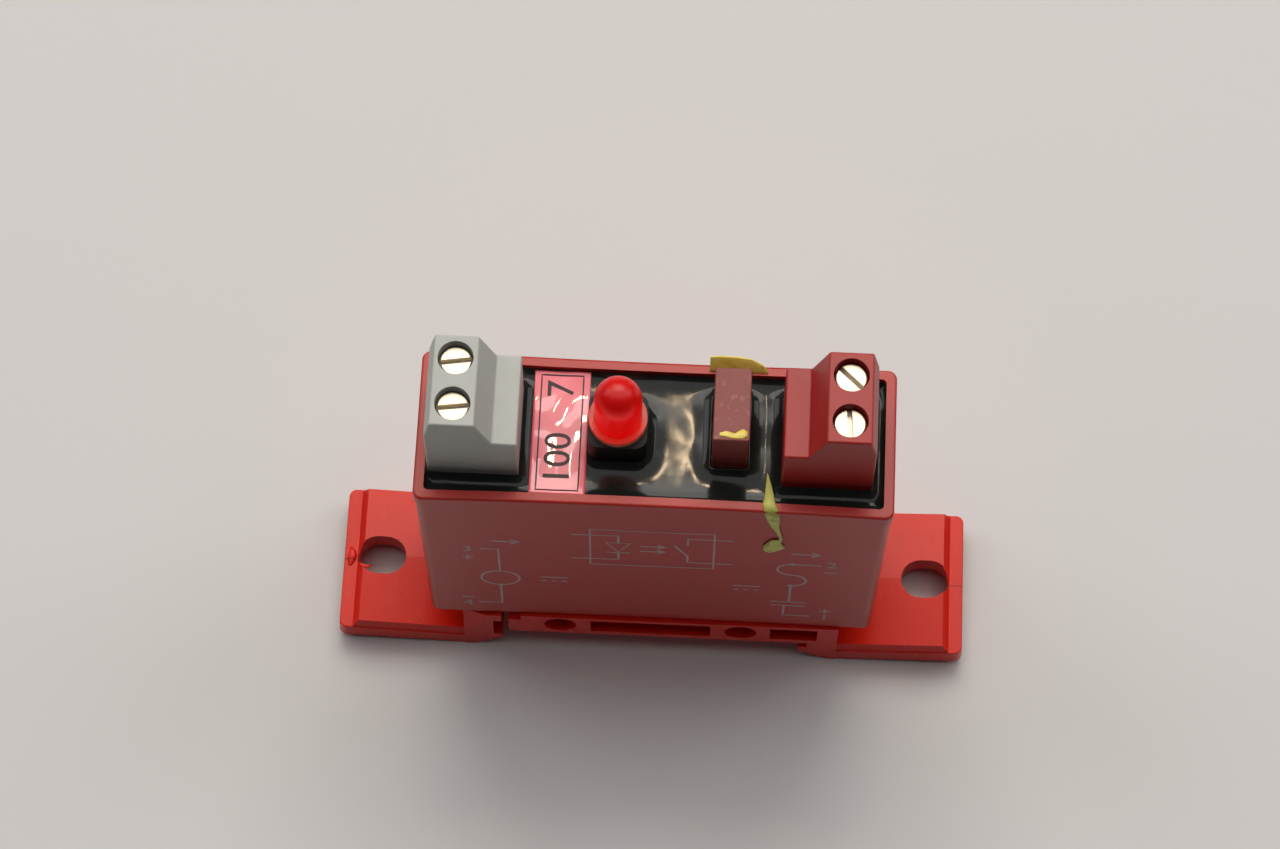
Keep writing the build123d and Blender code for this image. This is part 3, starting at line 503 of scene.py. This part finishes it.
def front_legend():
    """Terminal numbers, polarity signs and generic circuit symbols; no words, names or marks."""
    lines = []
    lead_x, ring_z, ring_r = -16.45, 20.3, 2.07
    lines.append(([(-18.4, 28.9), (lead_x, 28.9), (lead_x, ring_z + ring_r)], False))
    lines.append((arc((lead_x, ring_z), ring_r, 0, 350, 36), True))
    lines.append(([(lead_x, ring_z - ring_r), (lead_x, 12.6), (-19.1, 12.6)], False))
    fuse_x = 15.1
    lines.append(([(fuse_x, 28.2), (18.2, 28.2)], False))
    lines.append((arc((fuse_x, 26.6), 1.6, 90, 270, 15) + arc((fuse_x, 23.4), 1.6, 90, -90, 15), False))
    lines.append(([(fuse_x, 21.8), (fuse_x, 16.7)], False))
    lines.append(([(13.1, 16.7), (17.0, 16.7)], False))
    lines.append(([(13.1, 15.6), (17.0, 15.6)], False))
    lines.append(([(14.6, 15.6), (14.6, 12.6), (17.6, 12.6)], False))
    for x, z in ((-19.8, 26.3), (19.2, 14.4)):
        lines.append(([(x - 0.6, z), (x + 0.6, z)], False))
        lines.append(([(x, z - 0.6), (x, z + 0.6)], False))
    for x, z in ((-20.2, 14.1), (19.3, 26.2)):
        lines.append(([(x - 0.7, z), (x + 0.7, z)], False))
    for x, z in ((-10.6, 20.4), (10.3, 20.4)):
        lines.append(([(x - 1.5, z + 0.6), (x + 1.5, z + 0.6)], False))
        for i in (-1, 0, 1):
            lines.append(([(x + i * 1.1 - 0.3, z - 0.5), (x + i * 1.1 + 0.3, z - 0.5)], False))
    for x, way in ((-15.7, 1), (16.4, 1)):
        lines.append(([(x - 1.6, 31.2), (x + 1.4, 31.2)], False))
        lines.append(([(x + 0.6, 31.9), (x + 1.5, 31.2), (x + 0.6, 30.5)], False))
    left, right, floor, roof = -6.6, 6.6, 25.6, 35.6
    lines.append(([(left, floor), (right, floor), (right, roof), (left, roof)], True))
    mid = (floor + roof) / 2
    lines.append(([(-8.6, 34.0), (-3.6, 34.0), (-3.6, 32.0)], False))
    lines.append(([(-4.9, 32.0), (-2.3, 32.0), (-3.6, 29.4)], True))
    lines.append(([(-4.9, 29.2), (-2.3, 29.2)], False))
    lines.append(([(-3.6, 29.2), (-3.6, 27.2), (-8.6, 27.2)], False))
    for z in (mid + 0.7, mid - 0.7):
        lines.append(([(-1.3, z), (1.3, z)], False))
        lines.append(([(0.6, z + 0.5), (1.4, z), (0.6, z - 0.5)], False))
    lines.append(([(8.6, 34.0), (3.8, 34.0), (3.8, 32.2)], False))
    lines.append(([(3.8, 29.0), (2.4, 31.9)], False))
    lines.append(([(3.8, 29.0), (3.8, 27.2), (8.6, 27.2)], False))
    meshes = [front_strokes(lines)]
    dots = [(arc((fuse_x, z), 0.22, 0, 320, 9), True) for z in (28.2, 21.8)]
    meshes.append(front_strokes(dots))
    for words, x, z in (("3", -19.8, 28.7), ("4", -20.2, 12.3), ("2", 19.3, 28.4), ("1", 19.2, 12.4)):
        meshes.append(front_digit(words, x, z, 2.3))
    return on_front(join(meshes, "front_legend"))


# ------------------------------------------------------------------ potting surface
POTTING_Z = high("potting_compound").z
MENISCUS = 0.75
MENISCUS_REACH = 0.55


def rectangle_gap(x, y, box, rounding):
    """Distance from a point to the outside of a rounded rectangle; negative inside."""
    x0, x1, y0, y1 = box
    dx = abs(x - (x0 + x1) / 2) - (x1 - x0) / 2 + rounding
    dy = abs(y - (y0 + y1) / 2) - (y1 - y0) / 2 + rounding
    outside = math.hypot(max(dx, 0), max(dy, 0))
    return outside + min(max(dx, dy), 0) - rounding


def footprint(node):
    a, b = low(node), high(node)
    return a.x, b.x, a.y, b.y


def potting_surface():
    """The poured top: it climbs the walls and the parts, and dips between them."""
    wall = 0.95
    rim = footprint("case")
    inner = (rim[0] + wall, rim[1] - wall, rim[2] + wall + 0.15, rim[3] - wall - 0.15)
    climbed = [(footprint("input_terminal_housing"), 0.1), (footprint("output_terminal_housing"), 0.1),
               (footprint("led_spacer"), 1.3), (footprint("fuse_body"), 0.5)]
    fuse_foot, marker_foot = footprint("fuse_body"), footprint("marker_label")
    work = bmesh.new()
    across, along = 340, 112
    bmesh.ops.create_grid(work, x_segments=across, y_segments=along, size=0.5)
    size = Vector((inner[1] - inner[0] + 0.5, inner[3] - inner[2] + 0.5, 1))
    bmesh.ops.transform(work, matrix=Matrix.Diagonal((*size, 1)), verts=work.verts)
    for v in work.verts:
        x, y = v.co.x, v.co.y
        to_wall = -rectangle_gap(x, y, inner, 0.5)
        climb = math.exp(-max(to_wall, 0) / MENISCUS_REACH)
        for box, rounding in climbed:
            gap = rectangle_gap(x, y, box, rounding)
            lift = math.exp(-max(gap, 0) / MENISCUS_REACH)
            climb = max(climb, lift) + 0.25 * min(climb, lift)
        swell = noise.noise(Vector((x * 0.20, y * 0.26, 3.1))) * 0.09
        swell += noise.noise(Vector((x * 0.6, y * 0.5, 9.4))) * 0.012
        v.co.z = POTTING_Z + 0.12 + MENISCUS * min(climb, 1.05) + swell
        if rectangle_gap(x, y, fuse_foot, 0.3) < 0.02:
            v.co.z = POTTING_Z - 0.06
        if rectangle_gap(x, y, marker_foot, 0.3) < 0.0:
            v.co.z = min(v.co.z, POTTING_Z + 0.25)
    top = list(work.faces)
    grown = bmesh.ops.extrude_face_region(work, geom=top)
    for item in grown["geom"]:
        if isinstance(item, bmesh.types.BMVert):
            item.co.z = POTTING_Z - 0.4
    bmesh.ops.transform(work, matrix=Matrix.Scale(MM, 4), verts=work.verts)
    return mesh_from(work, "potting_surface")


# ------------------------------------------------------------------ marker strip
def marker_height(x, y):
    """How far the laminated strip stands off the potting, in millimetres."""
    x0, x1, y0, y1 = footprint("marker_label")
    wave = noise.noise(Vector((x * 0.5, y * 0.35, 5.0))) * 0.10
    curl = 0.22 * (abs(y) / ((y1 - y0) / 2)) ** 6
    return low("marker_label").z + 0.42 + wave + curl


def marker_strip():
    x0, x1, y0, y1 = footprint("marker_label")
    work = bmesh.new()
    bmesh.ops.create_grid(work, x_segments=24, y_segments=60, size=0.5)
    centre = Vector(((x0 + x1) / 2, (y0 + y1) / 2, 0))
    grow = Matrix.Translation(centre) @ Matrix.Diagonal((x1 - x0, y1 - y0, 1, 1))
    bmesh.ops.transform(work, matrix=grow, verts=work.verts)
    for v in work.verts:
        v.co.z = marker_height(v.co.x, v.co.y) + 0.12
    top = list(work.faces)
    grown = bmesh.ops.extrude_face_region(work, geom=top)
    for item in grown["geom"]:
        if isinstance(item, bmesh.types.BMVert):
            item.co.z -= 0.30
    bmesh.ops.transform(work, matrix=Matrix.Scale(MM, 4), verts=work.verts)
    return mesh_from(work, "marker_strip")


def marker_print():
    """A thin border and plain digits, read from the front of the strip to its rear."""
    x0, x1, y0, y1 = footprint("marker_label")
    inset_x, inset_y = 0.75, 0.45
    frame_points = [(x0 + inset_x, y0 + inset_y), (x1 - inset_x, y0 + inset_y),
                    (x1 - inset_x, y1 - inset_y), (x0 + inset_x, y1 - inset_y)]
    outline = []
    for i, (px, py) in enumerate(frame_points):
        qx, qy = frame_points[(i + 1) % 4]
        outline += [(px + (qx - px) * t / 20, py + (qy - py) * t / 20) for t in range(20)]
    border = curve_mesh("marker_border", [([(x * MM, y * MM, 0) for x, y in outline], True)], 0.07 * MM)
    border.transform(Matrix.Diagonal((1, 1, 0.3, 1)))
    meshes = [border]
    centre_x = (x0 + x1) / 2
    for words, y in (("100", -2.9), ("7", 5.0)):
        digits = text_mesh("marker_digits", words, 4.0 * MM, 0.03 * MM)
        turn = Matrix.Rotation(math.pi / 2, 4, "Z")
        digits.transform(Matrix.Translation((centre_x * MM, y * MM, 0)) @ turn)
        meshes.append(digits)
    joined = join(meshes, "marker_print")
    for v in joined.vertices:
        x, y = v.co.x / MM, v.co.y / MM
        v.co.z += (marker_height(x, y) + 0.15) * MM
    return joined


# ------------------------------------------------------------------ lacquer and moulding flash
def ribbon(name, stations, ring=10, rough=0.12, seed=1.0):
    """A flattened run through stations of (centre, width, thickness, width direction, face normal)."""
    work = bmesh.new()
    bmesh.ops.create_circle(work, cap_ends=True, segments=ring, radius=0.5)
    face = list(work.faces)[0]
    for step, (centre, width, thick, across, outward) in enumerate(stations):
        if step:
            grown = bmesh.ops.extrude_discrete_faces(work, faces=[face])
            face = grown["faces"][0]
        for i, v in enumerate(face.verts):
            turn = 2 * math.pi * i / ring
            wobble = 1 + rough * noise.noise(Vector((step * 0.9, i * 1.3, seed))) * 2
            side = Vector(across) * (math.cos(turn) * width / 2 * wobble)
            v.co = Vector(centre) + side + Vector(outward) * (math.sin(turn) * thick / 2)
    bmesh.ops.remove_doubles(work, verts=work.verts, dist=1e-6)
    bmesh.ops.transform(work, matrix=Matrix.Scale(MM, 4), verts=work.verts)
    return mesh_from(work, name)


# ------------------------------------------------------------------ build
make_camera()
make_lights()

red = moulded_red()
case_red = textured_red()
resin = potting_resin()
grey = satin_plastic("grey_housing", (0.43, 0.445, 0.41), (0.49, 0.50, 0.465), (0.28, 0.28, 0.25))
dull_red = satin_plastic("red_housing", (0.34, 0.010, 0.007), (0.42, 0.020, 0.014),
                         (0.46, 0.09, 0.07), 0.42)
black = satin_plastic("black_nylon", (0.008, 0.008, 0.008), (0.014, 0.014, 0.014),
                      (0.03, 0.03, 0.03), 0.5, 0.25)
epoxy = satin_plastic("moulded_epoxy", (0.02, 0.02, 0.02), (0.035, 0.035, 0.035),
                      (0.08, 0.08, 0.08), 0.5)
beige = satin_plastic("resistor_coat", (0.50, 0.38, 0.22), (0.62, 0.48, 0.30), (0.40, 0.28, 0.15), 0.4)
sleeve = satin_plastic("capacitor_sleeve", (0.02, 0.03, 0.12), (0.03, 0.05, 0.18),
                       (0.10, 0.10, 0.16), 0.3)
nickel = plated_metal("nickel_plate", (0.48, 0.42, 0.33), (0.68, 0.61, 0.49), 0.32, (1, 0.25, 1))
zinc = plated_metal("zinc_plate", (0.48, 0.50, 0.52), (0.62, 0.64, 0.66), 0.34)
tin = plated_metal("tin_plate", (0.55, 0.54, 0.50), (0.72, 0.71, 0.66), 0.30)
sheet_metal = plated_metal("aluminium_sheet", (0.60, 0.61, 0.62), (0.74, 0.75, 0.76), 0.36, (0.2, 1, 1))
lens = tinted_lens()
fuse_red = fuse_moulding()
board = laminate()
tape = marker_stock()
white_ink = ink("legend_ink", (0.42, 0.33, 0.32), (0.42, 0.08, 0.06), 0.55)
black_ink = ink("marker_ink", (0.030, 0.012, 0.012), (0.30, 0.05, 0.06), 0.35)
lacquer = dried_lacquer("green_lacquer", (0.42, 0.42, 0.05), (0.74, 0.72, 0.18), (0.26, 0.25, 0.02))
bright_lacquer = dried_lacquer("yellow_lacquer", (0.80, 0.58, 0.05), (0.92, 0.78, 0.20),
                               (0.62, 0.42, 0.03))

SLOT_FINISH = {
    "base_plastic": red, "case_plastic": case_red, "potting_resin": resin, "grey_plastic": grey,
    "red_plastic": dull_red, "nickel_plate": nickel, "zinc_steel": zinc, "tinned_brass": tin,
    "led_lens": lens, "black_plastic": black, "fuse_plastic": fuse_red, "board_laminate": board,
    "aluminium_plate": sheet_metal, "epoxy_black": epoxy, "resistor_coat": beige,
    "capacitor_sleeve": sleeve, "marker_film": tape,
}
for part in frame["record"]["subparts"]:
    node = nodes[part["node"]]
    node.data.materials.clear()
    node.data.materials.append(SLOT_FINISH[part["material_slot"]])

legend = piece("front_legend", front_legend(), white_ink)
poured = piece("potting_surface", potting_surface(), resin)
strip = piece("marker_strip", marker_strip(), tape)
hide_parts("marker_label")
piece("marker_print", marker_print(), black_ink)

rim_z = high("case").z
front_y = low("case").y
across_x, across_y, outward_z, outward_y = (1, 0, 0), (0, 1, 0), (0, 0, 1), (0, -1, 0)
slope = Vector((0, -0.7, 0.7))
run = [
    ((11.75, -3.5, POTTING_Z + 0.35), 0.12, 0.10, across_x, outward_z),
    ((11.9, -4.8, POTTING_Z + 0.60), 0.60, 0.16, across_x, outward_z),
    ((12.0, -6.2, POTTING_Z + 1.10), 1.00, 0.20, across_x, outward_z),
    ((12.05, -7.3, rim_z + 0.10), 1.30, 0.22, across_x, outward_z),
    ((12.2, front_y + 0.45, rim_z + 0.10), 1.55, 0.22, across_x, slope),
    ((12.35, front_y + 0.12, rim_z - 0.5), 1.60, 0.18, across_x, outward_y),
    ((12.55, front_y + 0.13, rim_z - 2.2), 1.35, 0.16, across_x, outward_y),
    ((12.85, front_y + 0.16, rim_z - 4.0), 0.85, 0.16, across_x, outward_y),
    ((13.25, front_y + 0.16, rim_z - 5.6), 0.42, 0.16, across_x, outward_y),
    ((13.50, front_y + 0.20, rim_z - 7.0), 0.36, 0.16, across_x, outward_y),
    ((13.45, front_y + 0.22, rim_z - 8.2), 0.40, 0.16, across_x, outward_y),
    ((13.10, front_y + 0.24, rim_z - 9.0), 0.45, 0.14, across_x, outward_y),
]
piece("lacquer_run", ribbon("lacquer_run", run, seed=2.0), lacquer)
blob = [
    ((12.9, front_y + 0.22, rim_z - 7.6), 0.5, 0.10, across_x, outward_y),
    ((12.8, front_y + 0.20, rim_z - 8.2), 1.3, 0.26, across_x, outward_y),
    ((12.85, front_y + 0.20, rim_z - 9.0), 2.0, 0.34, across_x, outward_y),
    ((12.75, front_y + 0.21, rim_z - 9.9), 2.2, 0.34, across_x, outward_y),
    ((12.60, front_y + 0.22, rim_z - 10.7), 1.5, 0.26, across_x, outward_y),
    ((12.45, front_y + 0.22, rim_z - 11.2), 0.6, 0.12, across_x, outward_y),
]
piece("lacquer_blob", ribbon("lacquer_blob", blob, rough=0.28, seed=6.0), lacquer)
rear_y = high("case").y
lean = Vector((0, 0.55, 0.84))
facing = (0, -0.84, 0.55)
dab = [
    ((5.3, rear_y - 0.62, rim_z + 0.95), 1.95, 0.10, lean, facing),
    ((6.4, rear_y - 0.60, rim_z + 1.00), 2.05, 0.14, lean, facing),
    ((8.2, rear_y - 0.60, rim_z + 0.98), 2.00, 0.14, lean, facing),
    ((9.7, rear_y - 0.66, rim_z + 0.90), 1.80, 0.14, lean, facing),
    ((10.8, rear_y - 0.80, rim_z + 0.60), 1.10, 0.12, lean, facing),
    ((11.4, rear_y - 0.95, rim_z + 0.25), 0.45, 0.10, lean, facing),
]
piece("lacquer_dab", ribbon("lacquer_dab", dab, rough=0.05, seed=4.0), bright_lacquer)
fuse_z = high("fuse_body").z
smear = [
    ((6.55, -2.55, fuse_z + 0.02), 0.35, 0.07, across_y, outward_z),
    ((7.2, -2.5, fuse_z + 0.02), 0.75, 0.10, across_y, outward_z),
    ((8.1, -2.65, fuse_z + 0.02), 0.60, 0.10, across_y, outward_z),
    ((8.9, -2.45, fuse_z + 0.02), 1.05, 0.12, across_y, outward_z),
    ((9.4, -2.35, fuse_z + 0.02), 0.55, 0.08, across_y, outward_z),
]
piece("fuse_smear", ribbon("fuse_smear", smear, rough=0.3, seed=8.0), bright_lacquer, body="fuse")

# Moulding flash at the input-side slot: a torn lump in the groove and a flake hanging in the slot.
foot = low("latch_foot")
SLOT_INSET = 4.6
DECK_TO_STRIP = 5.3
slot_x = foot.x + SLOT_INSET
strip_z = high("base_frame").z - DECK_TO_STRIP
lump = [
    ((foot.x + 0.88, -1.00, strip_z - 0.62), 0.25, 0.12, across_x, outward_z),
    ((foot.x + 0.98, -0.45, strip_z - 0.57), 0.75, 0.32, across_x, outward_z),
    ((foot.x + 1.05, 0.20, strip_z - 0.54), 1.05, 0.46, across_x, outward_z),
    ((foot.x + 0.97, 0.80, strip_z - 0.57), 0.70, 0.34, across_x, outward_z),
    ((foot.x + 0.86, 1.35, strip_z - 0.62), 0.22, 0.12, across_x, outward_z),
]
piece("slot_flash_lump", ribbon("slot_flash_lump", lump, rough=0.3, seed=11.0), red, body="latch_foot")
flake = [
    ((slot_x - 2.75, -0.75, strip_z - 0.55), 0.50, 0.12, across_y, outward_z),
    ((slot_x - 2.20, -0.95, strip_z - 0.60), 0.42, 0.12, across_y, outward_z),
    ((slot_x - 1.70, -1.00, strip_z - 0.62), 0.34, 0.10, across_y, outward_z),
    ((slot_x - 1.25, -0.85, strip_z - 0.66), 0.10, 0.06, across_y, outward_z),
]
flake_mesh = ribbon("slot_flash_flake", flake, rough=0.2, seed=13.0)
piece("slot_flash_flake", flake_mesh, red, body="latch_foot")

bpy.ops.mesh.primitive_plane_add(size=FLOOR_SIZE)
floor = bpy.context.object
floor.name = "bench"
floor.data.materials.append(bench_top())
